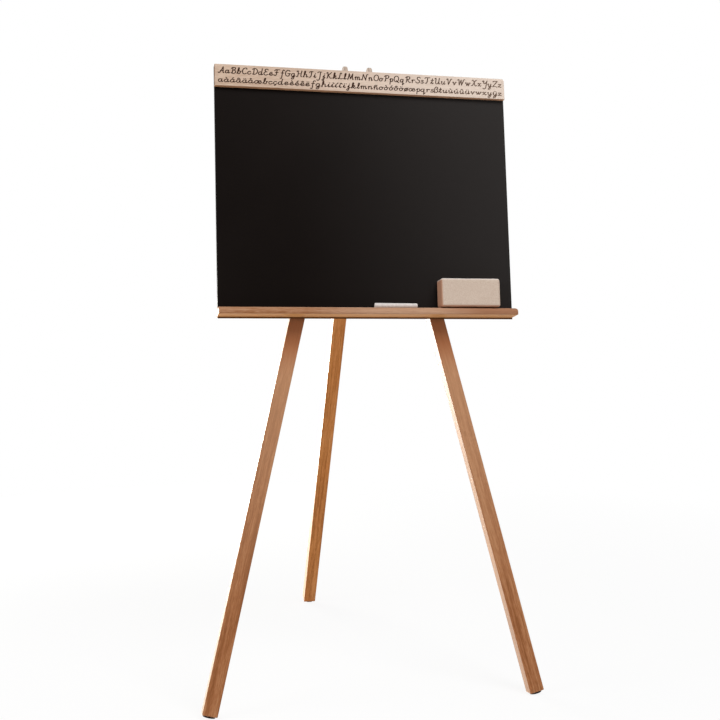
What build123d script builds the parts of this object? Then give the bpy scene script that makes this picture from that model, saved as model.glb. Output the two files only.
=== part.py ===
from build123d import *
import os
from math import acos, cos, degrees, radians, sin, tan

os.makedirs("parts", exist_ok=True)

# A tripod easel that carries a black writing board with a lettered top rail and a chalk ledge.
# Millimetres and degrees. X runs to the viewer's right, Y to the back, Z up from the floor.
# The panel frame is the board's own frame: its origin is the middle of the front face's lower
# edge, Z runs up the leaning board and Y through it to the back.

# Driving dimensions of the panel
LEDGE_TOP_HEIGHT = 706.0      # floor to the level top of the ledge
LEAN = 8.5                    # the board and the front legs lean back
BOARD_WIDTH = 550.0
BOARD_HEIGHT = 441.0
BOARD_THICK = 9.0
BOARD_EDGE_ROUND = 0.8
RAIL_HEIGHT = 40.0
RAIL_THICK = 8.5
RAIL_LEFT_ROUND = 1.2         # of the rail's upper corners, which differ
RAIL_RIGHT_ROUND = 5.0
RAIL_EDGE_ROUND = 1.0

# Ledge section
LEDGE_REACH = 33.0            # from the board's face to the nose
LEDGE_DROP = 20.7             # from the level top to the lowest edge
LEDGE_NOSE_DROP = 11.5        # from the level top to the nose's lower edge
LEDGE_NOSE_ROUND = 8.5
LEDGE_LOWER_ROUND = 1.5
LEDGE_LIP = 3.2               # height of the upright strip at the back of the sloping underside
LEDGE_LIP_REACH = 2.0         # from the board's face to that strip
LEDGE_END_ROUND = 4.0
LEDGE_OVERHANG = 0.5          # past the board at each end
GROOVE_START = 0.4            # from the board's face
GROOVE_WIDTH = 14.0
GROOVE_DEPTH = 2.0

# Legs
LEG_WIDTH = 27.0
LEG_THICK = 24.0
LEG_EDGE_ROUND = 1.5
LEG_SPLAY = 13.6              # of each front leg, in the panel's plane
LEG_TOP_GAP = 15.6            # between the two front legs, at their tops
LEG_TOP_DROP = 8.0            # the front legs end this far below the board's top edge
REAR_ANGLE = 27.4             # of the rear leg, from upright
REAR_HEAD = 14.0              # of the rear leg, above its pivot

# Head: a wedge between the front legs, and two cheeks and a block behind them
WEDGE_HEIGHT = 107.0
CHEEK_THICK = 7.5
CHEEK_DEPTH = 27.0
CHEEK_INSIDE = 39.6           # between the two cheeks
CHEEK_RISE = 28.0             # above the board's top edge
CHEEK_FOOT = 15.0             # below the pivot
CHEEK_TIP_ROUND = 13.0
CHEEK_FOOT_ROUND = 6.0
CHEEK_EDGE_ROUND = 1.5
BLOCK_HEIGHT = 72.0
PIVOT_DROP = 105.0            # from the board's top edge to the pivot

# Foot glides
GLIDE_DIAMETER = 22.0
GLIDE_THICK = 3.0
GLIDE_FLAT = 1.2              # ground off level, where the glide meets the floor
GLIDE_EDGE_ROUND = 0.8
NAIL_DIAMETER = 2.5
NAIL_LENGTH = 16.0

# Fasteners
BOLT_DIAMETER = 6.0
HEX_ACROSS_FLATS = 10.0
BOLT_HEAD_THICK = 4.0
NUT_THICK = 6.0
BOLT_END_PAST_NUT = 1.5
WASHER_DIAMETER = 12.0
WASHER_THICK = 1.6
SPACER_DIAMETER = 14.0
BIG_SCREW = 4.0
SMALL_SCREW = 3.5
SCREW_HEAD_RATIO = 2.0        # head to shank diameter
SCREW_TIP_RATIO = 0.25        # blunt tip to shank diameter
RECESS_LENGTH_RATIO = 1.2     # of the head's cross recess, to shank diameter
RECESS_WIDTH_RATIO = 0.2
RECESS_DEPTH_RATIO = 0.15
BOARD_SCREW_LENGTH = 27.0
LEDGE_SCREW_LENGTH = 37.0
WEDGE_SCREW_LENGTH = 38.0
BLOCK_SCREW_LENGTH = 38.0
CHEEK_SCREW_LENGTH = 24.0
RAIL_SCREW_LENGTH = 15.0
BOARD_SCREW_SHARES = (0.10, 0.46, 0.84)   # of the board's height, up each front leg
RAIL_SCREW_SHARES = (0.13, 0.28, 0.44)    # of the board's width, out from the centre plane
WEDGE_SCREW_INSET = 25.0      # from the wedge's foot and top
BLOCK_SCREW_INSET = 9.0       # from the block's foot and top
CHEEK_SCREW_INSET = 23.0      # from the block's foot and top

# Things on the ledge
CHALK_DIAMETER = 10.0
CHALK_TIP_DIAMETER = 9.2
CHALK_LENGTH = 80.0
CHALK_END_ROUND = 1.5
CHALK_LEFT_OF_ERASER = 137.0  # between their middles
ERASER_LENGTH = 113.0
ERASER_HEIGHT = 52.5
ERASER_DEPTH = 32.0
ERASER_EDGE_ROUND = 4.0
ERASER_FROM_END = 89.3        # from the board's right end to the eraser's middle

# Clearances
RUNNING_GAP = 0.05            # radial, of a pin in its hole
SIDE_GAP = 0.2                # between flat faces that turn past each other
SEAT_GAP = 0.3                # under a loose thing
STOP_GAP = 0.3                # at the rear leg's stop
CUT_PAST = 1.0                # how far a cutter runs past the face that it enters

# Worked out from the driving dimensions
leg_front = BOARD_THICK
leg_back = BOARD_THICK + LEG_THICK
pivot_back = leg_back + CHEEK_DEPTH / 2
pivot_up = BOARD_HEIGHT - PIVOT_DROP
leg_top = BOARD_HEIGHT - LEG_TOP_DROP
wedge_foot = leg_top - WEDGE_HEIGHT
block_foot = leg_top - BLOCK_HEIGHT
leg_half_width_level = LEG_WIDTH / 2 / cos(radians(LEG_SPLAY))
cheek_outer = CHEEK_INSIDE / 2 + CHEEK_THICK
groove_middle = GROOVE_START + GROOVE_WIDTH / 2
eraser_middle = BOARD_WIDTH / 2 - ERASER_FROM_END
front_leg_tilt = degrees(acos(cos(radians(LEG_SPLAY)) * cos(radians(LEAN))))
pivot_hole = BOLT_DIAMETER / 2 + RUNNING_GAP

upright = Pos(0, 0, LEDGE_TOP_HEIGHT)
panel = upright * Rot(-LEAN, 0, 0)
head_pivot = panel * Pos(0, pivot_back, pivot_up)
rear_frame = Pos(head_pivot.position) * Rot(REAR_ANGLE, 0, 0)


def leg_centre(up):
    """Distance of a front leg's centre line from the centre plane, at a height in the panel."""
    return LEG_TOP_GAP / 2 + leg_half_width_level + (leg_top - up) * tan(radians(LEG_SPLAY))


def leg_end_height(tilt):
    """Height of the middle of a leg's square end when its glide stands on the floor."""
    lean = radians(tilt)
    return GLIDE_DIAMETER / 2 * sin(lean) + GLIDE_THICK * cos(lean) - GLIDE_FLAT


def rod(diameter, length):
    """A rod along Z that starts at the origin."""
    return Cylinder(diameter / 2, length, align=(Align.CENTER, Align.CENTER, Align.MIN))


def hole(radius, length):
    """A cutter along Z that starts a little before the origin."""
    return Pos(0, 0, -CUT_PAST) * rod(2 * radius, length + CUT_PAST)


def countersink(diameter, gap):
    """The cone under a countersunk head, with a gap all round."""
    return Cone(diameter * SCREW_HEAD_RATIO / 2 + gap, diameter / 2 + gap,
                diameter * (SCREW_HEAD_RATIO - 1) / 2, align=(Align.CENTER, Align.CENTER, Align.MIN))


def screw(diameter, length):
    """A countersunk wood screw that points along +Z from its flush head, with a cross recess."""
    tip = Cone(diameter / 2, diameter * SCREW_TIP_RATIO / 2, diameter,
               align=(Align.CENTER, Align.CENTER, Align.MIN))
    shank = rod(diameter, length - diameter) + Pos(0, 0, length - diameter) * tip
    slot = Box(diameter * RECESS_LENGTH_RATIO, diameter * RECESS_WIDTH_RATIO,
               2 * diameter * RECESS_DEPTH_RATIO)
    return shank + countersink(diameter, 0) - slot - Rot(0, 0, 90) * slot


def screw_hole(diameter, length):
    """The hole that a countersunk screw fills, with its clearance."""
    return hole(diameter / 2 + RUNNING_GAP, length + SEAT_GAP) + countersink(diameter, RUNNING_GAP)


# Screw places. Each is a frame whose +Z points from the screw's head to its tip.
to_front = Rot(90, 0, 0)
leg_sides = (-1, 1)

board_screw_heights = [BOARD_HEIGHT * share for share in BOARD_SCREW_SHARES]
board_screw_places = [Pos(side * leg_centre(up), leg_back, up) * to_front
                      for side in leg_sides for up in board_screw_heights]

ledge_screw_up = -LEDGE_DROP / 2
ledge_screw_places = [Pos(side * leg_centre(ledge_screw_up), leg_back, ledge_screw_up) * to_front
                      for side in leg_sides]

rail_screw_up = BOARD_HEIGHT - RAIL_HEIGHT / 2
rail_screw_places = [Pos(side * BOARD_WIDTH * share, BOARD_THICK, rail_screw_up) * to_front
                     for side in leg_sides for share in RAIL_SCREW_SHARES]

wedge_screw_heights = (wedge_foot + WEDGE_SCREW_INSET, leg_top - WEDGE_SCREW_INSET)
wedge_screw_places = [
    Pos(side * leg_centre(up), leg_front + LEG_THICK / 2, up)
    * Rot(0, -side * (90 + LEG_SPLAY), 0) * Pos(0, 0, -LEG_WIDTH / 2)
    for side in leg_sides for up in wedge_screw_heights]

block_screw_heights = (block_foot + BLOCK_SCREW_INSET, leg_top - BLOCK_SCREW_INSET)
block_screw_places = [Pos(0, leg_back + CHEEK_DEPTH, up) * to_front for up in block_screw_heights]

cheek_screw_heights = (block_foot + CHEEK_SCREW_INSET, leg_top - CHEEK_SCREW_INSET)
cheek_screw_places = [Pos(side * cheek_outer, pivot_back, up) * Rot(0, -side * 90, 0)
                      for side in leg_sides for up in cheek_screw_heights]


def drill(shape, places, diameter, length):
    """Cut the screw holes at the given places out of a shape."""
    for where in places:
        shape -= where * screw_hole(diameter, length)
    return shape


def screws(places, diameter, length):
    """The screws themselves, as a group of separate solids."""
    return Compound(children=[where * screw(diameter, length) for where in places])


def make_board():
    """The black board, one sheet that reaches up behind the rail."""
    sheet = Box(BOARD_WIDTH, BOARD_THICK, BOARD_HEIGHT, align=(Align.CENTER, Align.MIN, Align.MIN))
    sheet = fillet(sheet.edges().filter_by(Axis.Y), BOARD_EDGE_ROUND)
    sheet = drill(sheet, board_screw_places, BIG_SCREW, BOARD_SCREW_LENGTH)
    return drill(sheet, rail_screw_places, SMALL_SCREW, RAIL_SCREW_LENGTH)


def make_rail():
    """The pale rail on the board's front, flush with its top edge and its ends."""
    rail = Pos(0, 0, BOARD_HEIGHT) * Box(BOARD_WIDTH, RAIL_THICK, RAIL_HEIGHT,
                                         align=(Align.CENTER, Align.MAX, Align.MAX))
    left_corner = rail.edges().filter_by(Axis.Y).group_by(Axis.X)[0].sort_by(Axis.Z)[-1]
    rail = fillet(left_corner, RAIL_LEFT_ROUND)
    right_corner = rail.edges().filter_by(Axis.Y).group_by(Axis.X)[-1].sort_by(Axis.Z)[-1]
    rail = fillet(right_corner, RAIL_RIGHT_ROUND)
    rail = fillet(rail.faces().sort_by(Axis.Y)[0].edges(), RAIL_EDGE_ROUND)
    return drill(rail, rail_screw_places, SMALL_SCREW, RAIL_SCREW_LENGTH)


def make_ledge():
    """The chalk ledge: level top with a shallow groove, rounded nose, sloping underside, upright lip."""
    lean = radians(LEAN)
    seat = (BOARD_THICK * cos(lean), -BOARD_THICK * sin(lean))
    heel = (seat[0] - (LEDGE_DROP + seat[1]) * tan(lean), -LEDGE_DROP)
    groove_ends = ((-GROOVE_START, 0), (-GROOVE_START - GROOVE_WIDTH, 0))
    outline = Curve() + [
        Polyline(seat, (0, 0), groove_ends[0]),
        ThreePointArc(groove_ends[0], (-groove_middle, -GROOVE_DEPTH), groove_ends[1]),
        Polyline(groove_ends[1], (-LEDGE_REACH, 0), (-LEDGE_REACH, -LEDGE_NOSE_DROP),
                 (-LEDGE_LIP_REACH, LEDGE_LIP - LEDGE_DROP), (-LEDGE_LIP_REACH, -LEDGE_DROP), heel, seat)]
    section = make_face(Plane.YZ * outline)
    section = fillet(section.vertices().sort_by(Axis.Y)[:2].sort_by(Axis.Z)[0], LEDGE_LOWER_ROUND)
    section = fillet(section.vertices().sort_by(Axis.Y)[:2].sort_by(Axis.Z)[-1], LEDGE_NOSE_ROUND)
    length = BOARD_WIDTH + 2 * LEDGE_OVERHANG
    ledge = round_ends(extrude(section, length / 2, both=True), length)
    return drill(upright * ledge, [panel * where for where in ledge_screw_places],
                 BIG_SCREW, LEDGE_SCREW_LENGTH)


def round_ends(ledge, length):
    """Round the ledge's upper end corners, as seen from the front."""
    envelope = Box(length, 4 * LEDGE_REACH, 2 * LEDGE_DROP, align=(Align.CENTER, Align.CENTER, Align.MAX))
    envelope = fillet(envelope.edges().filter_by(Axis.Y).group_by(Axis.Z)[-1], LEDGE_END_ROUND)
    return ledge & envelope


def make_front_leg(side):
    """A front leg, square-ended, behind the board."""
    end_height = leg_end_height(front_leg_tilt)
    middle = leg_front + LEG_THICK / 2
    foot_up = (end_height - LEDGE_TOP_HEIGHT + middle * sin(radians(LEAN))) / cos(radians(LEAN))
    length = (leg_top - foot_up) / cos(radians(LEG_SPLAY))
    where = Pos(side * leg_centre(foot_up), middle, foot_up) * Rot(0, -side * LEG_SPLAY, 0)
    leg = Box(LEG_WIDTH, LEG_THICK, length, align=(Align.CENTER, Align.CENTER, Align.MIN))
    leg = fillet(leg.edges().filter_by(Axis.Z) + leg.edges().group_by(Axis.Z)[0], LEG_EDGE_ROUND)
    leg -= hole(NAIL_DIAMETER / 2 + RUNNING_GAP, NAIL_LENGTH + SEAT_GAP)
    leg = where * leg
    leg = drill(leg, board_screw_places, BIG_SCREW, BOARD_SCREW_LENGTH)
    leg = drill(leg, ledge_screw_places, BIG_SCREW, LEDGE_SCREW_LENGTH)
    leg = drill(leg, wedge_screw_places, BIG_SCREW, WEDGE_SCREW_LENGTH)
    return leg, where


def make_wedge():
    """The wedge that fills the gap between the two leg tops."""
    low = leg_centre(wedge_foot) - leg_half_width_level
    high = LEG_TOP_GAP / 2
    outline = Plane.XZ * Polygon((-low, wedge_foot), (low, wedge_foot), (high, leg_top),
                                 (-high, leg_top), align=None)
    wedge = Pos(0, leg_back, 0) * extrude(outline, LEG_THICK)
    wedge = drill(wedge, wedge_screw_places, BIG_SCREW, WEDGE_SCREW_LENGTH)
    return drill(wedge, block_screw_places, BIG_SCREW, BLOCK_SCREW_LENGTH)


def make_block():
    """The block between the cheeks, above the rear leg."""
    block = Pos(0, leg_back, block_foot) * Box(CHEEK_INSIDE, CHEEK_DEPTH, BLOCK_HEIGHT,
                                               align=(Align.CENTER, Align.MIN, Align.MIN))
    block = drill(block, block_screw_places, BIG_SCREW, BLOCK_SCREW_LENGTH)
    return drill(block, cheek_screw_places, SMALL_SCREW, CHEEK_SCREW_LENGTH)


def make_cheek(side):
    """A cheek with round ends. Its tip stands above the board."""
    foot = pivot_up - CHEEK_FOOT
    height = BOARD_HEIGHT + CHEEK_RISE - foot
    middle = side * (CHEEK_INSIDE + CHEEK_THICK) / 2
    cheek = Box(CHEEK_THICK, CHEEK_DEPTH, height, align=(Align.CENTER, Align.CENTER, Align.MIN))
    cheek = fillet(cheek.edges().filter_by(Axis.X).group_by(Axis.Z)[-1], CHEEK_TIP_ROUND)
    cheek = fillet(cheek.edges().filter_by(Axis.X).group_by(Axis.Z)[0], CHEEK_FOOT_ROUND)
    cheek = fillet(cheek.faces().filter_by(Axis.X).edges(), CHEEK_EDGE_ROUND)
    cheek = Pos(middle, pivot_back, foot) * cheek
    cheek -= Pos(middle, pivot_back, pivot_up) * Rot(0, 90, 0) * Cylinder(pivot_hole, 2 * CHEEK_THICK)
    return drill(cheek, cheek_screw_places, SMALL_SCREW, CHEEK_SCREW_LENGTH)


def make_rear_leg():
    """The rear leg, in the frame of its pivot, with a bevel that stops it on the wedge."""
    length = (head_pivot.position.Z - leg_end_height(REAR_ANGLE)) / cos(radians(REAR_ANGLE))
    leg = Pos(0, 0, -length) * Box(LEG_WIDTH, LEG_THICK, length + REAR_HEAD,
                                   align=(Align.CENTER, Align.CENTER, Align.MIN))
    long_edges = leg.edges().filter_by(Axis.Z)
    end_edges = leg.edges().group_by(Axis.Z)[0]
    leg = fillet(long_edges + end_edges, LEG_EDGE_ROUND)
    leg -= Rot(0, 90, 0) * Cylinder(pivot_hole, 2 * LEG_WIDTH)
    foot = Pos(0, 0, -length)
    leg -= foot * hole(NAIL_DIAMETER / 2 + RUNNING_GAP, NAIL_LENGTH + SEAT_GAP)
    leg = rear_frame * leg
    stop = Pos(0, leg_back + STOP_GAP, pivot_up) * Box(2 * LEG_WIDTH, 2 * LEG_THICK, 4 * REAR_HEAD,
                                                       align=(Align.CENTER, Align.MAX, Align.CENTER))
    return leg - panel * stop, rear_frame * foot


def make_glide(where):
    """A nail-on glide under a leg's square end, ground level where it stands on the floor."""
    disc = Pos(0, 0, -GLIDE_THICK) * rod(GLIDE_DIAMETER, GLIDE_THICK)
    disc = fillet(disc.edges().group_by(Axis.Z)[0], GLIDE_EDGE_ROUND)
    glide = where * (disc + rod(NAIL_DIAMETER, NAIL_LENGTH))
    floor_side = 4 * GLIDE_DIAMETER
    return glide - Pos(where.position.X, where.position.Y, 0) * Box(
        floor_side, floor_side, floor_side, align=(Align.CENTER, Align.CENTER, Align.MAX))


def make_bolt():
    """The pivot bolt, along X from its head on the left."""
    grip = cheek_outer + WASHER_THICK
    shank = Pos(-grip, 0, 0) * Rot(0, 90, 0) * rod(BOLT_DIAMETER, 2 * grip + NUT_THICK + BOLT_END_PAST_NUT)
    head = Pos(-grip - BOLT_HEAD_THICK, 0, 0) * hexagon_bar(BOLT_HEAD_THICK)
    return shank + head


def hexagon_bar(length):
    """A hexagon bar along X that starts at the origin."""
    face = Plane.YZ * RegularPolygon(HEX_ACROSS_FLATS / 2, 6, major_radius=False)
    return extrude(face, length)


def make_nut():
    """The lock nut at the bolt's right end."""
    return Pos(cheek_outer + WASHER_THICK, 0, 0) * (
        hexagon_bar(NUT_THICK) - Rot(0, 90, 0) * Cylinder(pivot_hole, 4 * NUT_THICK))


def make_ring(diameter, thickness, start):
    """A washer or spacer on the bolt, along X from its start."""
    ring = Rot(0, 90, 0) * (rod(diameter, thickness) - hole(pivot_hole, thickness + CUT_PAST))
    return Pos(start, 0, 0) * ring


def make_washers():
    """The two washers outside the cheeks."""
    right = make_ring(WASHER_DIAMETER, WASHER_THICK, cheek_outer)
    left = make_ring(WASHER_DIAMETER, WASHER_THICK, -cheek_outer - WASHER_THICK)
    return Compound(children=[left, right])


def make_spacer(side):
    """A spacer between a cheek and the rear leg."""
    length = (CHEEK_INSIDE - LEG_WIDTH) / 2 - SIDE_GAP
    start = CHEEK_INSIDE / 2 - length if side > 0 else -CHEEK_INSIDE / 2
    return make_ring(SPACER_DIAMETER, length, start)


def make_chalk():
    """A stick of chalk that lies in the groove, its thick end to the left."""
    stick = Cone(CHALK_DIAMETER / 2, CHALK_TIP_DIAMETER / 2, CHALK_LENGTH)
    stick = fillet(stick.edges().filter_by(GeomType.CIRCLE), CHALK_END_ROUND)
    centre_up = CHALK_DIAMETER / 2 - GROOVE_DEPTH + SEAT_GAP
    return Pos(eraser_middle - CHALK_LEFT_OF_ERASER, -groove_middle, centre_up) * Rot(0, 90, 0) * stick


def make_eraser():
    """The eraser block. Its heel is in the groove and its back leans on the board."""
    lip = (GROOVE_START + GROOVE_WIDTH) * sin(radians(LEAN))
    block = Box(ERASER_LENGTH, ERASER_DEPTH, ERASER_HEIGHT, align=(Align.CENTER, Align.MAX, Align.MIN))
    block = fillet(block.edges(), ERASER_EDGE_ROUND)
    return Pos(eraser_middle, -SEAT_GAP, SEAT_GAP - lip) * block


left_leg, left_foot = make_front_leg(-1)
right_leg, right_foot = make_front_leg(1)
rear_leg, rear_foot = make_rear_leg()

nodes = {
    "board_panel": panel * make_board(),
    "top_rail": panel * make_rail(),
    "chalk_ledge": make_ledge(),
    "front_left_leg": panel * left_leg,
    "front_right_leg": panel * right_leg,
    "head_wedge": panel * make_wedge(),
    "head_block": panel * make_block(),
    "left_cheek": panel * make_cheek(-1),
    "right_cheek": panel * make_cheek(1),
    "rear_leg": rear_leg,
    "left_foot_glide": make_glide(panel * left_foot),
    "right_foot_glide": make_glide(panel * right_foot),
    "rear_foot_glide": make_glide(rear_foot),
    "pivot_bolt": head_pivot * make_bolt(),
    "pivot_nut": head_pivot * make_nut(),
    "pivot_washers": head_pivot * make_washers(),
    "left_spacer": head_pivot * make_spacer(-1),
    "right_spacer": head_pivot * make_spacer(1),
    "board_screws": panel * screws(board_screw_places, BIG_SCREW, BOARD_SCREW_LENGTH),
    "ledge_screws": panel * screws(ledge_screw_places, BIG_SCREW, LEDGE_SCREW_LENGTH),
    "wedge_screws": panel * screws(wedge_screw_places, BIG_SCREW, WEDGE_SCREW_LENGTH),
    "block_screws": panel * screws(block_screw_places, BIG_SCREW, BLOCK_SCREW_LENGTH),
    "cheek_screws": panel * screws(cheek_screw_places, SMALL_SCREW, CHEEK_SCREW_LENGTH),
    "rail_screws": panel * screws(rail_screw_places, SMALL_SCREW, RAIL_SCREW_LENGTH),
    "chalk_stick": upright * make_chalk(),
    "eraser_block": panel * make_eraser(),
}

# The origin is on the floor, in the middle of the easel's footprint from front to back.
boxes = [shape.bounding_box() for shape in nodes.values()]
middle_back = (min(box.min.Y for box in boxes) + max(box.max.Y for box in boxes)) / 2
footprint = Pos(0, -middle_back, 0)

for name, shape in nodes.items():
    export_step(footprint * shape, "parts/" + name + ".step")

pivot = (footprint * head_pivot).position
print("pivot", round(pivot.X, 3), round(pivot.Y, 3), round(pivot.Z, 3), "opens to", REAR_ANGLE + LEAN)
for name, where in (("left", panel * left_foot), ("right", panel * right_foot), ("rear", rear_foot)):
    foot = (footprint * where).position
    print(name, "foot", round(foot.X, 3), round(foot.Y, 3), round(foot.Z, 3))
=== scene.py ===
from math import cos, pi, radians, sin, sqrt
from unicodedata import normalize

import bmesh
import bpy
from mathutils import Matrix, Vector, noise
from mathutils.geometry import interpolate_bezier


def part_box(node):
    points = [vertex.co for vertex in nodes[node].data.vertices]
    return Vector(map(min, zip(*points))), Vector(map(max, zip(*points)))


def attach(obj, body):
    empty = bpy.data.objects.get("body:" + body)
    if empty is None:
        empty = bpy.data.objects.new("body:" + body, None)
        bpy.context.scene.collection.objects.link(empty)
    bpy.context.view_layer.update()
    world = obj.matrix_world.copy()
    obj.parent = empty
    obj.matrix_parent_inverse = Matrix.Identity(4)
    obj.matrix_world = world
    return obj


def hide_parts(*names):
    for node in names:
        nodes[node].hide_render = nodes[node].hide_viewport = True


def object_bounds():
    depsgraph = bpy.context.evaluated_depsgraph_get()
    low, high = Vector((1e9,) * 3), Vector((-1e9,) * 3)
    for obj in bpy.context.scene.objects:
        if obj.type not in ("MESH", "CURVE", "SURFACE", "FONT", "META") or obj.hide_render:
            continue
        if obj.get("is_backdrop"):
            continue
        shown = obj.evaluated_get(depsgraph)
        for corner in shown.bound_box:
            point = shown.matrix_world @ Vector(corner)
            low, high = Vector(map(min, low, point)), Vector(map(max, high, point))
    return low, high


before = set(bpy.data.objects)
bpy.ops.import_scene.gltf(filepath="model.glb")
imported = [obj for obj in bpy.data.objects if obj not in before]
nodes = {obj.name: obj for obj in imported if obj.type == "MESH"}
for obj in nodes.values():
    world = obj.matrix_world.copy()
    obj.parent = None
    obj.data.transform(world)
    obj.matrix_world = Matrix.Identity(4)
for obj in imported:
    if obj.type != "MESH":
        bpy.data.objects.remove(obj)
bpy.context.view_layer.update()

# ---------------------------------------------------------------------------
# The two front legs. Each is one planed stick of orange-brown wood, oiled, with
# eased edges. They splay out to the sides and lean back with the board.

LEAN = radians(8.5)
SPLAY = radians(13.6)


def tone(red, green, blue):
    """A colour given as it looks on a screen, 0 to 255 each, as the shader wants it."""
    parts = (part / 255 for part in (red, green, blue))
    return tuple(p / 12.92 if p <= 0.04045 else ((p + 0.055) / 1.055) ** 2.4 for p in parts) + (1.0,)


def step(tree, kind, plugs=(), **options):
    """One shader node. Its plugs are set to a value, or joined to another node's output."""
    made = tree.nodes.new("ShaderNode" + kind)
    for option, value in options.items():
        setattr(made, option, value)
    for plug, value in dict(plugs).items():
        if isinstance(value, bpy.types.NodeSocket):
            tree.links.new(value, made.inputs[plug])
        else:
            made.inputs[plug].default_value = value
    return made


def finish(name, roughness, specular=0.5):
    """An empty finish: its tree, its shader and the place on the piece that patterns follow."""
    made = bpy.data.materials.new(name)
    made.use_nodes = True
    tree = made.node_tree
    shader = tree.nodes["Principled BSDF"]
    shader.inputs["Roughness"].default_value = roughness
    shader.inputs["Specular IOR Level"].default_value = specular
    return made, tree, shader, step(tree, "TexCoord").outputs["Object"]


def stretched(tree, place, across, along, detail=2.0, rough=0.5, bend=0.0):
    """Noise drawn out along Z: its lumps are 1/across metres wide and 1/along metres long."""
    at = step(tree, "Mapping", {"Vector": place, "Scale": (across, across, along)})
    return step(tree, "TexNoise", {"Vector": at.outputs[0], "Scale": 1.0, "Detail": detail,
                                   "Roughness": rough, "Distortion": bend}).outputs["Fac"]


def weighed(tree, parts):
    """The weighted sum of several patterns."""
    total = 0.0
    for pattern, weight in parts:
        total = step(tree, "Math", {0: pattern, 1: weight, 2: total}, operation="MULTIPLY_ADD").outputs[0]
    return total


def ramp(tree, factor, stops):
    """Colours along a pattern, given as (place, colour) pairs from low to high."""
    made = step(tree, "ValToRGB", {"Fac": factor})
    band = made.color_ramp
    while len(band.elements) < len(stops):
        band.elements.new(0.5)
    for element, (place, colour) in zip(band.elements, stops):
        element.position = place
        element.color = colour
    return made.outputs["Color"]


def turning(tree, place, colour, changes):
    """A colour that turns into others across the piece. Each change has a direction, the places along
    it where the change starts and ends, the share of the new colour there, and that colour."""
    for direction, start, end, most, towards in changes:
        along = step(tree, "VectorMath", {0: place, 1: direction}, operation="DOT_PRODUCT").outputs["Value"]
        share = step(tree, "MapRange", {"Value": along, "From Min": start, "From Max": end, "To Max": most},
                     interpolation_type="SMOOTHSTEP").outputs[0]
        colour = step(tree, "Mix", {0: share, 6: colour, 7: towards}, data_type="RGBA").outputs[2]
    return colour


OIL_COAT = 0.3
OIL_SHEEN = tone(255, 244, 222)


def wood(name, dark, middle, pale, turn=(0, 0, 0), shift=(0, 0, 0), changes=(), figure=0.3,
         roughness=0.5, specular=0.5, oiled=0.0):
    """Planed wood whose grain runs along Z once the piece is turned: slow drifts of colour, bands,
    streaks and flecks. Oiled adds a thin coat and a sheen, which brighten a side seen aslant."""
    made, tree, shader, place = finish(name, roughness, specular)
    for socket, value in (("Specular Tint", middle), ("Coat Weight", OIL_COAT * oiled),
                          ("Coat Roughness", 0.4), ("Sheen Weight", oiled), ("Sheen Roughness", 0.35),
                          ("Sheen Tint", OIL_SHEEN)):
        shader.inputs[socket].default_value = value
    here = step(tree, "Mapping", {"Vector": place, "Rotation": turn, "Location": shift}).outputs[0]
    drift = stretched(tree, here, across=9, along=2.2, detail=1.0)
    band = stretched(tree, here, across=150, along=4.0, bend=0.6)
    streak = stretched(tree, here, across=520, along=34.0, detail=3.0, rough=0.6, bend=0.9)
    fleck = stretched(tree, here, across=1300, along=130.0, rough=0.6)
    shade = weighed(tree, ((drift, 0.20), (band, figure), (streak, 0.34), (fleck, 0.46 - figure)))
    colour = ramp(tree, shade, ((0.42, dark), (0.50, middle), (0.58, pale)))
    tree.links.new(turning(tree, place, colour, changes), shader.inputs["Base Color"])
    relief = step(tree, "Bump", {"Height": weighed(tree, ((fleck, 0.6), (streak, 0.4))),
                                 "Strength": 0.2, "Distance": 0.0003})
    tree.links.new(relief.outputs[0], shader.inputs["Normal"])
    return made


def dress(material, *names):
    """Give CAD pieces their finish."""
    for name in names:
        nodes[name].data.materials.clear()
        nodes[name].data.materials.append(material)


# The legs' colour pales up to mid-height, which is a painted reflection, and is darker and redder
# near the ledge. That second change is a painted shadow: it stands in for a part of the ledge's shadow on
# them.
LEG_TONES = tone(138, 82, 43), tone(165, 106, 65), tone(186, 132, 91)
LEG_CHANGES = (((0, 0, 1), 0.1, 0.6, 0.5, tone(196, 152, 118)),
               ((0, 0, 1), 0.58, 0.65, 0.75, tone(150, 84, 44)))
dress(wood("left_leg_wood", *LEG_TONES, (LEAN, -SPLAY, 0), (0.09, 0.04, 0.3), LEG_CHANGES, oiled=1.0),
      "front_left_leg")
dress(wood("right_leg_wood", *LEG_TONES, (LEAN, SPLAY, 0), (-0.06, 0.07, 0.9), LEG_CHANGES, oiled=1.0),
      "front_right_leg")

# ---------------------------------------------------------------------------
# The head behind the board: a wedge screwed between the two leg tops, a block, and
# two cheeks, all of pale wood. The rear leg swings between the cheeks.

# The head's tones are darker and greyer than the rail's pale wood: painted shade on the cheek tops that
# show above the rail.
HEAD_TONES = tone(160, 140, 124), tone(182, 163, 148), tone(200, 184, 170)
dress(wood("head_wood", *HEAD_TONES, (LEAN, 0, 0), (0.05, 0.08, 0.2), figure=0.2),
      "head_wedge", "head_block", "left_cheek", "right_cheek")

# ---------------------------------------------------------------------------
# The rear leg. It has the front legs' section, in a stronger orange, and hangs from
# the pivot bolt. Open, its bevelled top bears on the wedge.

REAR_ANGLE = radians(27.4)
# The rear leg's tones are written lighter than the front legs': painted light that makes up for the board's
# shade over it.
REAR_TONES = tone(163, 94, 29), tone(197, 125, 60), tone(215, 148, 85)
dress(wood("rear_leg_wood", *REAR_TONES, (-REAR_ANGLE, 0, 0), (0.05, -0.08, 0.0), oiled=1.0), "rear_leg")

# ---------------------------------------------------------------------------
# The pivot: a zinc-plated M6 bolt with a lock nut and two washers, and a white
# plastic spacer on each side of the rear leg. The wood screws are plated steel too.


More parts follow.
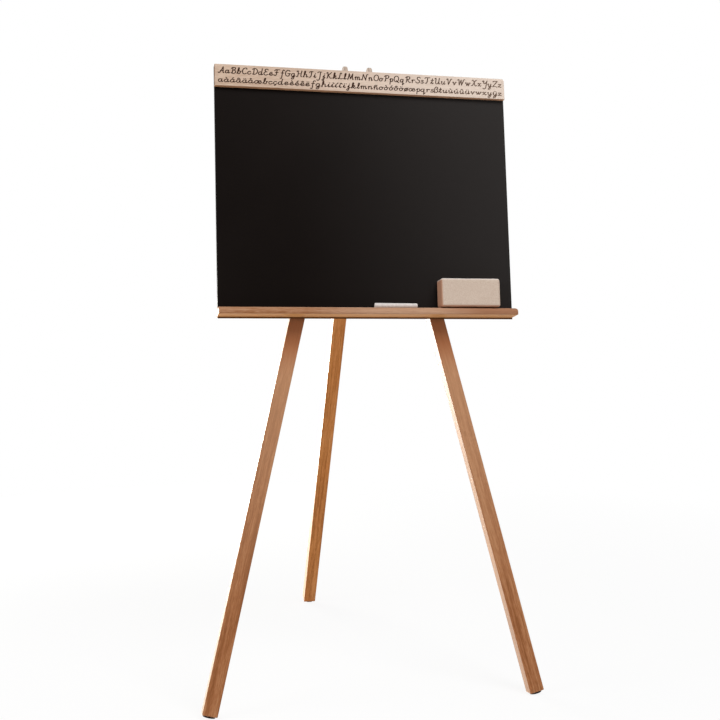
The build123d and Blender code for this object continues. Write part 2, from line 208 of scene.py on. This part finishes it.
def plated_steel(name, colour, roughness):
    """Zinc-plated steel, faintly cloudy in colour and in gloss."""
    made, tree, shader, place = finish(name, roughness)
    shader.inputs["Metallic"].default_value = 1.0
    cloud = step(tree, "TexNoise", {"Vector": place, "Scale": 900.0, "Detail": 4.0}).outputs["Fac"]
    dim = tuple(0.8 * part for part in colour[:3]) + (1.0,)
    tree.links.new(ramp(tree, cloud, ((0.3, dim), (0.7, colour))), shader.inputs["Base Color"])
    rough = step(tree, "MapRange", {"Value": cloud, "To Min": roughness - 0.06,
                                    "To Max": roughness + 0.12})
    tree.links.new(rough.outputs[0], shader.inputs["Roughness"])
    return made


def moulded_plastic(name, colour, roughness, specular=0.5):
    """Moulded plastic with a faint orange-peel skin."""
    made, tree, shader, place = finish(name, roughness, specular)
    skin = step(tree, "TexNoise", {"Vector": place, "Scale": 1400.0, "Detail": 3.0}).outputs["Fac"]
    dim = tuple(0.85 * part for part in colour[:3]) + (1.0,)
    tree.links.new(ramp(tree, skin, ((0.35, dim), (0.65, colour))), shader.inputs["Base Color"])
    relief = step(tree, "Bump", {"Height": skin, "Strength": 0.15, "Distance": 0.0002})
    tree.links.new(relief.outputs[0], shader.inputs["Normal"])
    return made


dress(plated_steel("plated_steel", tone(196, 198, 196), 0.32),
      "pivot_bolt", "pivot_nut", "pivot_washers", "board_screws", "ledge_screws", "wedge_screws",
      "block_screws", "cheek_screws", "rail_screws")
dress(moulded_plastic("spacer_nylon", tone(226, 222, 210), 0.45), "left_spacer", "right_spacer")

# ---------------------------------------------------------------------------
# The foot glides: discs of dark hard plastic on nails, one under each leg's end.
# Where they meet the floor they are flat. Their near-black colour also stands in for the contact
# shadow under each foot.

dress(moulded_plastic("glide_plastic_and_shadow", tone(34, 20, 12), 0.6, 0.1),
      "left_foot_glide", "right_foot_glide", "rear_foot_glide")

# ---------------------------------------------------------------------------
# The writing board: a smooth fibreboard sheet under matt black writing paint. It is
# screwed to the front legs from behind.

BOARD_HAZE = ((1, 0, 0.15), -0.04, 0.55, 1.0, tone(45, 42, 41))


def writing_paint():
    """Matt black paint, slightly cloudy. The paler haze at its right stands in for a part of the
    broad reflection that such paint has."""
    made, tree, shader, place = finish("writing_paint", 0.42, 0.029)
    cloud = step(tree, "TexNoise", {"Vector": place, "Scale": 5.0, "Detail": 3.0}).outputs["Fac"]
    tooth = step(tree, "TexNoise", {"Vector": place, "Scale": 1800.0, "Detail": 2.0}).outputs["Fac"]
    soiled = weighed(tree, ((cloud, 0.7), (tooth, 0.3)))
    colour = ramp(tree, soiled, ((0.35, tone(15, 10, 8)), (0.65, tone(19, 14, 12))))
    tree.links.new(turning(tree, place, colour, (BOARD_HAZE,)), shader.inputs["Base Color"])
    rough = step(tree, "MapRange", {"Value": cloud, "From Min": 0.3, "From Max": 0.7,
                                    "To Min": 0.39, "To Max": 0.45})
    tree.links.new(rough.outputs[0], shader.inputs["Roughness"])
    relief = step(tree, "Bump", {"Height": tooth, "Strength": 0.12, "Distance": 0.0002})
    tree.links.new(relief.outputs[0], shader.inputs["Normal"])
    return made


dress(writing_paint(), "board_panel")

# ---------------------------------------------------------------------------
# The top rail: a flat bar of pale wood on the board's face, screwed on from behind,
# with two rounded upper corners. Its grain runs along it.

QUARTER = pi / 2
UPWARD = Vector((0, sin(LEAN), cos(LEAN)))
FORWARD = Vector((0, -cos(LEAN), sin(LEAN)))
# Where the rail's bottom, top and face lie along those two directions.
rail_points = [vertex.co for vertex in nodes["top_rail"].data.vertices]
rail_bottom = min(point.dot(UPWARD) for point in rail_points)
rail_top = max(point.dot(UPWARD) for point in rail_points)
rail_face = max(point.dot(FORWARD) for point in rail_points)
# The rail pales to the right, as the board does, and is darker at its left end and lower edge.
# These changes stand in for a part of the light and shade on it.
RAIL_LENGTH = 0.550
RAIL_TONES = tone(184, 155, 133), tone(199, 172, 151), tone(212, 188, 168)
RAIL_CHANGES = (((1, 0, 0), -0.3, 0.25, 0.55, tone(229, 217, 207)),
                ((-1, 0, 0), RAIL_LENGTH / 2 - 0.0012, RAIL_LENGTH / 2 - 0.0002, 0.8, tone(120, 88, 64)),
                (UPWARD, rail_bottom + 0.0005, rail_bottom + 0.0001, 0.8, tone(186, 128, 84)))
dress(wood("rail_beech", *RAIL_TONES, (0, QUARTER, 0), (0.06, 0.03, 0.0), RAIL_CHANGES,
           figure=0.2, roughness=0.55, specular=0.1),
      "top_rail")

# ---------------------------------------------------------------------------
# The alphabet on the rail, in a round school hand: each capital with its small letter
# above, and the small letters with their accents below. It is printed in dark brown
# ink: each pen stroke is a film under a tenth of a millimetre thick.

ROW_MARGIN = 0.0065
PEN = 0.0018
INK_EDGE, INK_MIDDLE = 0.00003, 0.00009
PEN_SLANT = 0.14
TOP_ROW = "".join(c + c.lower() for c in "ABCDEFGHIJKLMNOPQRSTUVWXYZ")
TOP_BASE, TOP_UNIT = 0.0034, Vector((0.00138, 0.00112))
LOW_ROW = "aàáâäåæbcçdeèéêëfghiìíîïjklmnñoòóôöøœpqrsßtuùúûüvwxyÿz"
LOW_BASE, LOW_UNIT = -0.0130, Vector((0.00158, 0.00104))

# Every letter's pen strokes, as "across,up" points: the writing line is at 0, small
# letters are 5 high, capitals and tall letters 10, and tails reach down to -4.5.
BOWL = "4.3,4.3 2.6,5 .9,3.7 .7,1.3 2.1,0 3.7,1.2 4.5,3.2"
LOOP = "0,.6 1.6,4 2.5,8.6 2,10 1.2,8.6 1,0"
FLICK = ".2,3.8 .9,5 1.1,4.4 1,0"
SWING = ".2,8.6 1.2,9.8 1.9,8.8"
HAND = {
    "a": BOWL + " / 4.5,4.9 4.3,1.4 4.7,.2 5.5,.5 6.2,1.3",
    "b": "0,.6 1.6,4 2.6,8.5 2.1,10 1.3,8.5 1.1,2 1.7,.2 3,0 4.2,1.6 4.1,3.8 3.4,4.8 "
         "/ 3.4,4.8 4.2,4 5.4,4.3",
    "c": "4.2,4.1 2.9,5 1.2,4 .7,2 1.5,.3 3,0 4.8,1.3",
    "d": BOWL + " / 4.9,10 4.4,2 4.8,.2 5.6,.5 6.3,1.3",
    "e": ".2,1.2 2,2.1 3.8,3.2 3.7,4.6 2.4,5 1,3.6 .9,1.4 2.2,0 3.8,.4 5,1.6",
    "f": "4.4,9 3.2,10 2.2,8.6 1.9,4 1.6,-3 .8,-4.4 -.4,-3.8 / .3,4.8 3.8,5",
    "g": BOWL + " / 4.5,4.9 4.4,-.5 3.8,-3.6 2.2,-4.5 1.2,-3.4 2.6,-1.4 5.6,1",
    "h": LOOP + " / 1,2.6 2.2,4.7 3.6,5 4.3,3.8 4.2,1 4.7,.1 5.9,1.2",
    "i": ".2,1.5 1.5,5 / 1.5,5 1.3,1.2 1.9,.1 3.1,1.2",
    "j": ".2,1.5 1.7,5 / 1.7,5 1.6,-2.6 .9,-4.4 -.5,-4 -.3,-2.4 1.3,-.8 3,.8",
    "k": LOOP + " / 1.1,2.2 2.8,4.9 4,4.6 3.6,3 1.9,2.4 / 1.9,2.5 3.6,.3 4.4,0 5.4,1.2",
    "l": "0,.6 1.8,4 2.6,8.6 2,10 1.2,8.4 1.2,1.6 1.8,.1 3.2,1.3",
    "m": FLICK + " / 1,2.8 2,4.7 3,5 3.6,4 3.5,0 / 3.5,2.8 4.5,4.7 5.5,5 6.1,4 6,1 6.5,.1 7.6,1.2",
    "n": FLICK + " / 1,2.8 2.1,4.7 3.3,5 4,3.9 3.9,1 4.4,.1 5.6,1.2",
    "o": "2.8,5 1,3.9 .7,1.6 2,0 3.8,.9 4.3,3.2 2.9,5 / 2.9,5 3.6,4.2 5.4,4.4",
    "p": ".2,3.4 1.3,5 / 1.3,5 1.1,-4.5 / 1.1,2.8 2.2,4.7 3.6,4.9 4.4,3.2 3.9,.8 2.5,0 1.2,.9",
    "q": BOWL + " / 4.5,4.9 4.3,-4.5 / 4.3,-4.5 5.1,-3.4 6,-1.8",
    "r": FLICK + " / 1,2.8 2.1,4.6 3.3,5 4.2,4.4",
    "s": "3.9,4.3 2.6,5 1.2,4.2 1.8,3 3.4,2.2 3.9,.9 2.6,0 .6,.6",
    "t": "0,.8 1.6,4 2.1,8.4 / 2.1,8.4 1.7,1.6 2.3,.1 3.7,1.2 / .3,5.6 3.6,5.8",
    "u": ".2,3.8 .9,5 1.1,4.2 1,1.4 1.9,0 3.2,.7 4.2,3 / 4.4,5 4.2,1.2 4.7,.1 5.8,1.2",
    "v": ".2,3.8 .9,5 1.4,3.6 2.3,0 / 2.3,0 3.4,2.4 4,4.9 5.2,4.5",
    "w": ".2,3.8 .8,5 1.2,3.6 2,0 / 2,0 3,2 3.6,4.8 / 3.6,4.8 3.8,2.4 4.4,0 "
         "/ 4.4,0 5.4,2.2 6,4.9 7.1,4.5",
    "x": ".3,4.2 1.3,5 2.3,3.6 3.4,.8 4.2,0 5.2,.9 / 4.5,4.9 3.5,4.4 .9,0",
    "y": ".2,3.8 .9,5 1.1,4.2 1.1,1.6 2,.1 3.4,.9 4.3,3 "
         "/ 4.5,5 4.2,-1.4 3.4,-4 1.8,-4.4 1.4,-3.2 3,-1 5.6,1",
    "z": ".6,4.3 1.5,5 4.2,4.8 / 4.2,4.8 .6,.2 / .6,.2 2.4,.5 4.7,0",
    "æ": BOWL + " / 4.5,4.9 4.4,2.4 6,2.4 7.8,3.2 7.6,4.7 6.3,5 4.9,3.6 4.8,1.4 6,0 7.6,.4 8.8,1.6",
    "ø": "2.8,5 1,3.9 .7,1.6 2,0 3.8,.9 4.3,3.2 2.9,5 / .5,-.6 4.7,5.6",
    "œ": "2.8,5 1,3.9 .7,1.6 2,0 3.6,.9 4.3,2.4 4,4 2.8,5 "
         "/ 4.3,2.4 6,2.5 7.4,3.4 7.2,4.7 6,5 4.6,3.8 4.6,1.4 5.8,0 7.2,.4 8.4,1.6",
    "ß": ".9,-.6 1,7.4 2.2,9.8 4,9.4 4.2,7.2 2.8,5.6 / 2.8,5.6 4.5,4.4 4.6,1.6 3.4,0 2,.4",
    "A": "0,.9 .9,0 2.3,1.6 4.4,6.6 5.6,10 / 5.6,10 6,4 6.4,.6 7.6,.4 / 2.4,3.6 6.2,3.7",
    "B": "2.1,9.6 2.1,4 1.6,.2 / .2,8 1.8,9.8 4.2,10 5.6,8.4 4.6,6.2 2.2,5.3 "
         "/ 2.2,5.3 5,5 6.2,2.8 5,.5 2.4,0 .4,1",
    "C": "6.2,8.2 5.6,9.6 4,10 1.8,8.4 .8,5 1.6,1.4 3.8,0 6.2,1.5",
    "D": "2,9.6 2,.7 / 0,8.4 2.2,10 5.2,9 6.8,5.6 5.6,1.6 2.6,0 .4,.8",
    "E": "5.6,8.6 4.4,10 2.2,9.4 1.6,7.4 3,5.6 4.6,5.4 / 3,5.6 .9,3.8 .9,1.4 2.8,0 5.8,1.3",
    "F": "3.2,9.6 3,3 2,.4 .4,.2 -.2,1.4 / .2,8 1.6,9.8 6.6,10 / 1.2,5.2 5,5.4",
    "G": "6.2,8.4 5.2,9.8 3.6,10 1.6,8.2 .8,5 1.8,1.2 4,0 5.8,1.2 6.2,4.4 / 4,4.4 7.2,4.6",
    "H": SWING + " 1.9,2 1,.1 -.2,.6 / 6.6,10 6,5 6,.9 7.4,.4 / 1.9,5 6,5.2",
    "I": ".4,8.4 1.8,9.8 5,10 / 3.3,9.9 3,3 1.8,.3 .1,.6",
    "J": ".4,8.6 2,9.9 5.6,10 / 4.1,9.9 3.8,0 3,-3.4 1.4,-4.4 .2,-3.4",
    "K": SWING + " 1.9,2 1.2,.1 / 6.6,10 4.4,7.4 2.1,5.4 / 2.6,5.7 4.6,2 6,.3 7.4,.7",
    "L": "4.4,8.6 3.8,10 2.6,9.4 2.3,6 1.8,2 .8,.1 .2,1 1.6,1.3 4,.1 6.2,.9",
    "M": "0,.8 .8,.1 1.4,3 2,9.8 / 2,9.8 4.2,1 / 4.2,1 6.8,9.8 / 6.8,9.8 6.8,2 7.4,.2 8.6,.9",
    "N": "0,.8 .8,.2 1.4,4 1.8,9.8 / 1.8,9.8 5.8,.2 / 5.8,.2 6.2,6 6.8,9.4 8.2,9.9",
    "O": "3.8,10 1.6,8.6 .7,5 1.6,1.4 3.8,0 6,1.4 6.9,5 6,8.6 3.8,10",
    "P": "2.2,9.6 2.1,2 1.4,.1 / .2,8.2 2,9.9 4.6,10 6.2,8.2 5.2,5.6 2.2,4.8",
    "Q": "3.8,10 1.6,8.6 .7,5 1.6,1.4 3.8,0 6,1.4 6.9,5 6,8.6 3.8,10 / 4,2.4 5.6,.2 7.8,-1",
    "R": "2.2,9.6 2.1,2 1.4,.1 / .2,8.2 2,9.9 4.6,10 6.2,8.2 5.2,5.8 2.2,4.8 "
         "/ 3.2,4.9 5,1.6 6.2,.2 7.6,.7",
    "S": "5.8,8.6 4.8,9.9 2.8,9.8 1.6,8 2.8,5.8 5,4.2 5.4,1.8 3.8,0 1.4,.3 .2,1.9",
    "T": ".2,8.6 1.8,9.9 7.2,10 / 4.1,9.9 3.8,3 2.8,.4 1,.4",
    "U": SWING + " 1.7,2.8 2.8,.2 4.6,.6 6,3.6 / 6.4,10 6.2,1.6 6.8,.2 8,.9",
    "V": SWING + " 3.3,.2 / 3.3,.2 5,5.6 6,9.2 7.6,9.8",
    "W": SWING + " 2.8,.2 / 2.8,.2 5,8.8 / 5,8.8 6.2,.2 / 6.2,.2 7.8,6 8.6,9.4 10,9.8",
    "X": ".4,9 1.6,9.9 3,7.8 5,1.6 6.2,.1 7.4,.9 / 6.8,9.9 5.2,9 1.6,.9 0,.2",
    "Y": SWING + " 1.9,6 3,4.9 4.6,5.6 5.8,8 / 6.4,10 5.8,2 5,-2.6 3.4,-4.4 1.8,-3.6",
    "Z": ".6,8.9 1.8,9.9 6.6,9.9 / 6.6,9.9 .7,.2 / .7,.2 3.2,.7 7,.1",
}
DOT = "2,7.2 2.1,7.3"
MARKS = {
    "\u0300": "1.8,8.1 3.1,6.7",                         # grave
    "\u0301": "2.3,6.7 3.6,8.1",                         # acute
    "\u0302": "1.4,6.7 2.6,8 / 2.6,8 3.8,6.7",           # circumflex
    "\u0303": "1.1,6.8 1.9,7.6 3,7 3.9,7.7",             # tilde
    "\u0308": "1.6,7.2 1.7,7.3 / 3.5,7.2 3.6,7.3",       # two dots
    "\u030a": "2.7,8.3 2,7.6 2.7,6.8 3.4,7.6 2.7,8.3",   # ring
    "\u0327": "2.8,0 3,-1.3 2,-2.1",                     # cedilla
}


def pen_strokes(letter):
    """A letter's strokes as lists of points, with its accent or dot."""
    plain, *accents = normalize("NFD", letter)
    parts = [HAND[plain]] + [MARKS[accent] for accent in accents]
    if letter in "ij":
        parts.append(DOT)
    return [[Vector(map(float, point.split(","))) for point in stroke.split()]
            for stroke in " / ".join(parts).split(" / ")]


def rounded_path(points, steps=5):
    """The smooth line that the pen draws through a stroke's points, half a pen longer at each end."""
    knots = [points[0]] + points + [points[-1]]
    path = []
    for before, start, end, after in zip(knots, knots[1:], knots[2:], knots[3:]):
        leave, arrive = start + (end - before) / 6, end - (after - start) / 6
        path += interpolate_bezier(start, leave, arrive, end, steps)[:-1]
    path.append(points[-1])
    lead, tail = ((path[a] - path[b]).normalized() * PEN / 2 for a, b in ((0, 1), (-1, -2)))
    caps = (1.0, 0.8, 0.4)
    return [path[0] + lead * cap for cap in caps] + path + [path[-1] + tail * cap for cap in reversed(caps)]


def ink_stroke(mesh, points):
    """One stroke of ink: a flat ribbon with round ends, wider where the pen moves down."""
    path = rounded_path(points)
    reach = [0.0]
    for a, b in zip(path, path[1:]):
        reach.append(reach[-1] + (b - a).length)
    rows = []
    for n, (point, run) in enumerate(zip(path, reach)):
        ahead = (path[min(n + 1, len(path) - 1)] - path[max(n - 1, 0)]).normalized()
        from_end = min(run, reach[-1] - run, PEN / 2) / (PEN / 2)
        half = PEN / 2 * sqrt(1 - (1 - from_end) ** 2) * (0.82 + 0.26 * abs(ahead.y))
        side = Vector((-ahead.y, ahead.x)) * max(half, PEN / 50)
        rows.append([mesh.verts.new((spot.x, -height, spot.y)) for spot, height in
                     ((point + side, INK_EDGE), (point, INK_MIDDLE), (point - side, INK_EDGE))])
    for one, two in zip(rows, rows[1:]):
        for k in (0, 1):
            mesh.faces.new((one[k], two[k], two[k + 1], one[k + 1]))


def write_row(mesh, letters, base, unit):
    """A row of letters that fills the rail's length, with equal gaps. The unit is one step across and
    one step up."""
    drawn = [pen_strokes(letter) for letter in letters]
    spans = []
    for strokes in drawn:
        across = [point.x for stroke in strokes for point in stroke]
        spans.append((min(across) * unit.x, max(across) * unit.x))
    room = RAIL_LENGTH - 2 * ROW_MARGIN - sum(high - low for low, high in spans)
    gap = room / (len(letters) - 1)
    start = -RAIL_LENGTH / 2 + ROW_MARGIN
    for strokes, (low, high) in zip(drawn, spans):
        for stroke in strokes:
            ink_stroke(mesh, [Vector((start - low + p.x * unit.x + p.y * unit.y * PEN_SLANT,
                                      base + p.y * unit.y)) for p in stroke])
        start += high - low + gap


INK_PALING = ((1, 0, 0), 0.0, 0.3, 0.6, tone(120, 98, 82))


def printing_ink():
    """Dark brown ink, uneven, and paler towards the right as the rail is, which is a painted reflection."""
    made, tree, shader, place = finish("printing_ink", 0.7, 0.15)
    soak = step(tree, "TexNoise", {"Vector": place, "Scale": 420.0, "Detail": 3.0}).outputs["Fac"]
    colour = ramp(tree, soak, ((0.35, tone(40, 18, 8)), (0.7, tone(66, 38, 22))))
    tree.links.new(turning(tree, place, colour, (INK_PALING,)), shader.inputs["Base Color"])
    return made


written = bmesh.new()
write_row(written, TOP_ROW, TOP_BASE, TOP_UNIT)
write_row(written, LOW_ROW, LOW_BASE, LOW_UNIT)
bmesh.ops.recalc_face_normals(written, faces=written.faces)
letter_mesh = bpy.data.meshes.new("rail_letters")
written.to_mesh(letter_mesh)
written.free()
letter_mesh.shade_smooth()
letter_mesh.materials.append(printing_ink())
letters = bpy.data.objects.new("rail_letters", letter_mesh)
bpy.context.scene.collection.objects.link(letters)
letters.matrix_world = (Matrix.Translation(FORWARD * rail_face + UPWARD * (rail_bottom + rail_top) / 2)
                        @ Matrix.Rotation(-LEAN, 4, "X"))
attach(letters, "front_frame")

# ---------------------------------------------------------------------------
# The chalk ledge: a moulded strip of brown wood with a chalk groove, a rounded nose
# and a sloping underside, screwed on below the board.

# The ledge is paler in the middle, a painted highlight, and darker at the right. The sloping underside
# is yellower, from SLOPE_TOP down, and the lip behind it dark brown, from LIP_TOP down. The last two are
# painted light: they stand in for light thrown up from the floor and for a part of the lip's shadow.
ledge_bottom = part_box("chalk_ledge")[0].z
SLOPE_TOP = ledge_bottom + 0.0094
LIP_TOP = ledge_bottom + 0.0031
LEDGE_TONES = tone(144, 94, 60), tone(168, 119, 86), tone(188, 145, 114)
LEDGE_CHANGES = (((1, 0, 0), -0.16, 0.02, 0.5, tone(202, 166, 140)),
                 ((1, 0, 0), 0.10, 0.22, 0.8, tone(154, 105, 76)),
                 ((0, 0, 1), SLOPE_TOP, SLOPE_TOP - 0.0008, 0.85, tone(207, 148, 92)),
                 ((0, 0, 1), LIP_TOP, LIP_TOP - 0.0004, 0.85, tone(60, 30, 16)))
dress(wood("ledge_wood", *LEDGE_TONES, (0, QUARTER, 0), (0.05, 0.02, 0.4), LEDGE_CHANGES, specular=0.08),
      "chalk_ledge")

# ---------------------------------------------------------------------------
# The stick of chalk, slightly tapered, with rounded ends. It lies loose in the
# groove.


def dusty_chalk():
    """Chalk: quite rough, faintly blotched."""
    made, tree, shader, place = finish("dusty_chalk", 0.95, 0.1)
    blotch = step(tree, "TexNoise", {"Vector": place, "Scale": 260.0, "Detail": 4.0}).outputs["Fac"]
    colour = ramp(tree, blotch, ((0.3, tone(214, 206, 202)), (0.7, tone(232, 226, 222))))
    tree.links.new(colour, shader.inputs["Base Color"])
    relief = step(tree, "Bump", {"Height": blotch, "Strength": 0.3, "Distance": 0.0004})
    tree.links.new(relief.outputs[0], shader.inputs["Normal"])
    return made


dress(dusty_chalk(), "chalk_stick")

# ---------------------------------------------------------------------------
# The eraser: a block of pressed beige felt with soft edges. It stands loose on the
# ledge, and its back leans on the board.

ERASER = Vector((0.113, 0.032, 0.0525))
ERASER_ROUND = 0.0042
ERASER_UNEVEN = 0.00025
FELT_SHADE_BROWN = tone(184, 134, 106)
# The ends and the bottom are browner than the front, a painted shade, and the top is paler, a painted
# highlight.
end, brim = ERASER.x / 2, ERASER.z / 2
FELT_CHANGES = (((-1, 0, 0), end - 0.0035, end - 0.0005, 0.9, FELT_SHADE_BROWN),
                ((1, 0, 0), end - 0.0012, end - 0.0004, 0.9, FELT_SHADE_BROWN),
                ((0, 0, 1), brim - 0.004, brim - 0.001, 1.0, tone(224, 212, 204)),
                ((0, 0, -1), brim - 0.004, brim - 0.001, 0.9, FELT_SHADE_BROWN))


def felt():
    """Pressed felt: short fibres in all directions, slightly mottled, with painted shade at ends and
    bottom.
    """
    made, tree, shader, place = finish("pressed_felt", 0.95, 0.05)
    mottle = step(tree, "TexNoise", {"Vector": place, "Scale": 650.0, "Detail": 3.0}).outputs["Fac"]
    fuzz = step(tree, "TexNoise", {"Vector": place, "Scale": 2200.0, "Detail": 3.0}).outputs["Fac"]
    pile = weighed(tree, ((mottle, 0.5), (fuzz, 0.5)))
    colour = ramp(tree, pile, ((0.34, tone(192, 168, 149)), (0.50, tone(206, 186, 170)),
                              (0.66, tone(215, 199, 184))))
    tree.links.new(turning(tree, place, colour, FELT_CHANGES), shader.inputs["Base Color"])
    relief = step(tree, "Bump", {"Height": pile, "Strength": 0.4, "Distance": 0.0006})
    tree.links.new(relief.outputs[0], shader.inputs["Normal"])
    return made


def felt_block():
    """The block's mesh, with rounded edges and a slightly uneven skin."""
    mesh = bmesh.new()
    bmesh.ops.create_cube(mesh, size=1.0)
    bmesh.ops.scale(mesh, vec=ERASER, verts=mesh.verts)
    bmesh.ops.bevel(mesh, geom=mesh.edges[:], offset=ERASER_ROUND, segments=5, profile=0.5,
                    affect="EDGES")
    wide = [e for e in mesh.edges if e.calc_length() > 4 * ERASER_ROUND]
    bmesh.ops.subdivide_edges(mesh, edges=wide, cuts=24, use_grid_fill=True)
    for vertex in mesh.verts:
        swell = noise.fractal(vertex.co * 90, 1.0, 2.0, 3)
        vertex.co -= vertex.co.normalized() * ERASER_UNEVEN * (1 + swell)
    data = bpy.data.meshes.new("eraser_felt")
    mesh.to_mesh(data)
    mesh.free()
    data.shade_smooth()
    return data


low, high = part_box("eraser_block")
eraser = bpy.data.objects.new("eraser_felt", felt_block())
bpy.context.scene.collection.objects.link(eraser)
eraser.matrix_world = Matrix.Translation((low + high) / 2) @ Matrix.Rotation(-LEAN, 4, "X")
eraser.data.materials.append(felt())
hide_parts("eraser_block")
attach(eraser, "eraser")

# ---------------------------------------------------------------------------
# The studio: a white floor and surround, a soft key lamp high in front on the right, a
# weak fill lamp at the left, a low lamp behind on the left that picks out the legs'
# left sides, and a camera at the ledge's height.


def seen(tree):
    """1 where the camera looks straight at a surface, or sees it in a gloss or through glass."""
    path = step(tree, "LightPath").outputs
    first = step(tree, "Math", {0: path["Is Camera Ray"], 1: path["Is Glossy Ray"]}, operation="MAXIMUM")
    either = step(tree, "Math", {0: first.outputs[0], 1: path["Is Transmission Ray"]}, operation="MAXIMUM")
    return either.outputs[0]


def white_floor():
    """A pale floor that looks white, and keeps a soft shadow near what stands on it."""
    made, tree, shader, place = finish("white_floor", 0.9, 0.0)
    shader.inputs["Base Color"].default_value = (0.92, 0.92, 0.92, 1)
    glow = step(tree, "Emission", {"Color": (1, 1, 1, 1), "Strength": 1.0})
    away = step(tree, "VectorMath", {0: place}, operation="LENGTH").outputs["Value"]
    whiteness = step(tree, "MapRange", {"Value": away, "From Min": 0.7, "From Max": 2.2,
                                        "To Min": 0.9, "To Max": 1.0}).outputs[0]
    share = step(tree, "Math", {0: seen(tree), 1: whiteness}, operation="MULTIPLY")
    both = step(tree, "MixShader", {0: share.outputs[0], 1: shader.outputs[0], 2: glow.outputs[0]})
    tree.links.new(both.outputs[0], tree.nodes["Material Output"].inputs["Surface"])
    return made


FLOOR_HALF = 30.0
floor_mesh = bpy.data.meshes.new("floor")
floor_mesh.from_pydata([(-FLOOR_HALF, -FLOOR_HALF, 0), (FLOOR_HALF, -FLOOR_HALF, 0),
                        (FLOOR_HALF, FLOOR_HALF, 0), (-FLOOR_HALF, FLOOR_HALF, 0)], [], [(0, 1, 2, 3)])
floor_mesh.materials.append(white_floor())
floor = bpy.data.objects.new("floor", floor_mesh)
bpy.context.scene.collection.objects.link(floor)
floor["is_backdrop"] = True

SURROUND = 0.25
world = bpy.data.worlds.new("surround")
bpy.context.scene.world = world
world.use_nodes = True
sky = world.node_tree
level = step(sky, "MapRange", {"Value": seen(sky), "To Min": SURROUND, "To Max": 1.0})
sky.links.new(level.outputs[0], sky.nodes["Background"].inputs["Strength"])
sky.nodes["Background"].inputs["Color"].default_value = (1, 1, 1, 1)


def lamp(name, place, target, size, watts, colour=(1, 1, 1)):
    """A soft rectangular lamp that points at a target."""
    light = bpy.data.lights.new(name, "AREA")
    light.shape = "RECTANGLE"
    light.size, light.size_y = size
    light.energy = watts
    light.color = colour
    made = bpy.data.objects.new(name, light)
    bpy.context.scene.collection.objects.link(made)
    made.location = place
    made.rotation_euler = (Vector(target) - Vector(place)).to_track_quat("-Z", "Y").to_euler()
    return made


lamp("key_lamp", (0.7, -1.75, 2.78), (0, -0.2, 0.75), (1.2, 1.2), 49)
lamp("rim_lamp", (-1.1, 2.5, 0.35), (0, -0.1, 0.25), (1.4, 0.65), 125, (1.0, 0.97, 0.9))
lamp("fill_lamp", (-2.6, -0.9, 1.2), (0, -0.25, 0.7), (1.2, 1.2), 26)

CAMERA_PLACE = (-0.4488, -2.2034, 0.6992)
CAMERA_YAW, CAMERA_PITCH, CAMERA_ROLL = radians(-12.61), radians(-2.57), radians(0.276)
CAMERA_LENS = 54.37
camera = bpy.data.objects.new("camera", bpy.data.cameras.new("camera"))
bpy.context.scene.collection.objects.link(camera)
camera.matrix_world = (Matrix.Translation(CAMERA_PLACE) @ Matrix.Rotation(CAMERA_YAW, 4, "Z")
                       @ Matrix.Rotation(QUARTER + CAMERA_PITCH, 4, "X")
                       @ Matrix.Rotation(CAMERA_ROLL, 4, "Z"))
camera.data.lens = CAMERA_LENS
camera.data.sensor_width = 36.0
bpy.context.scene.camera = camera
bpy.context.scene.view_settings.view_transform = "Standard"

low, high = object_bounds()
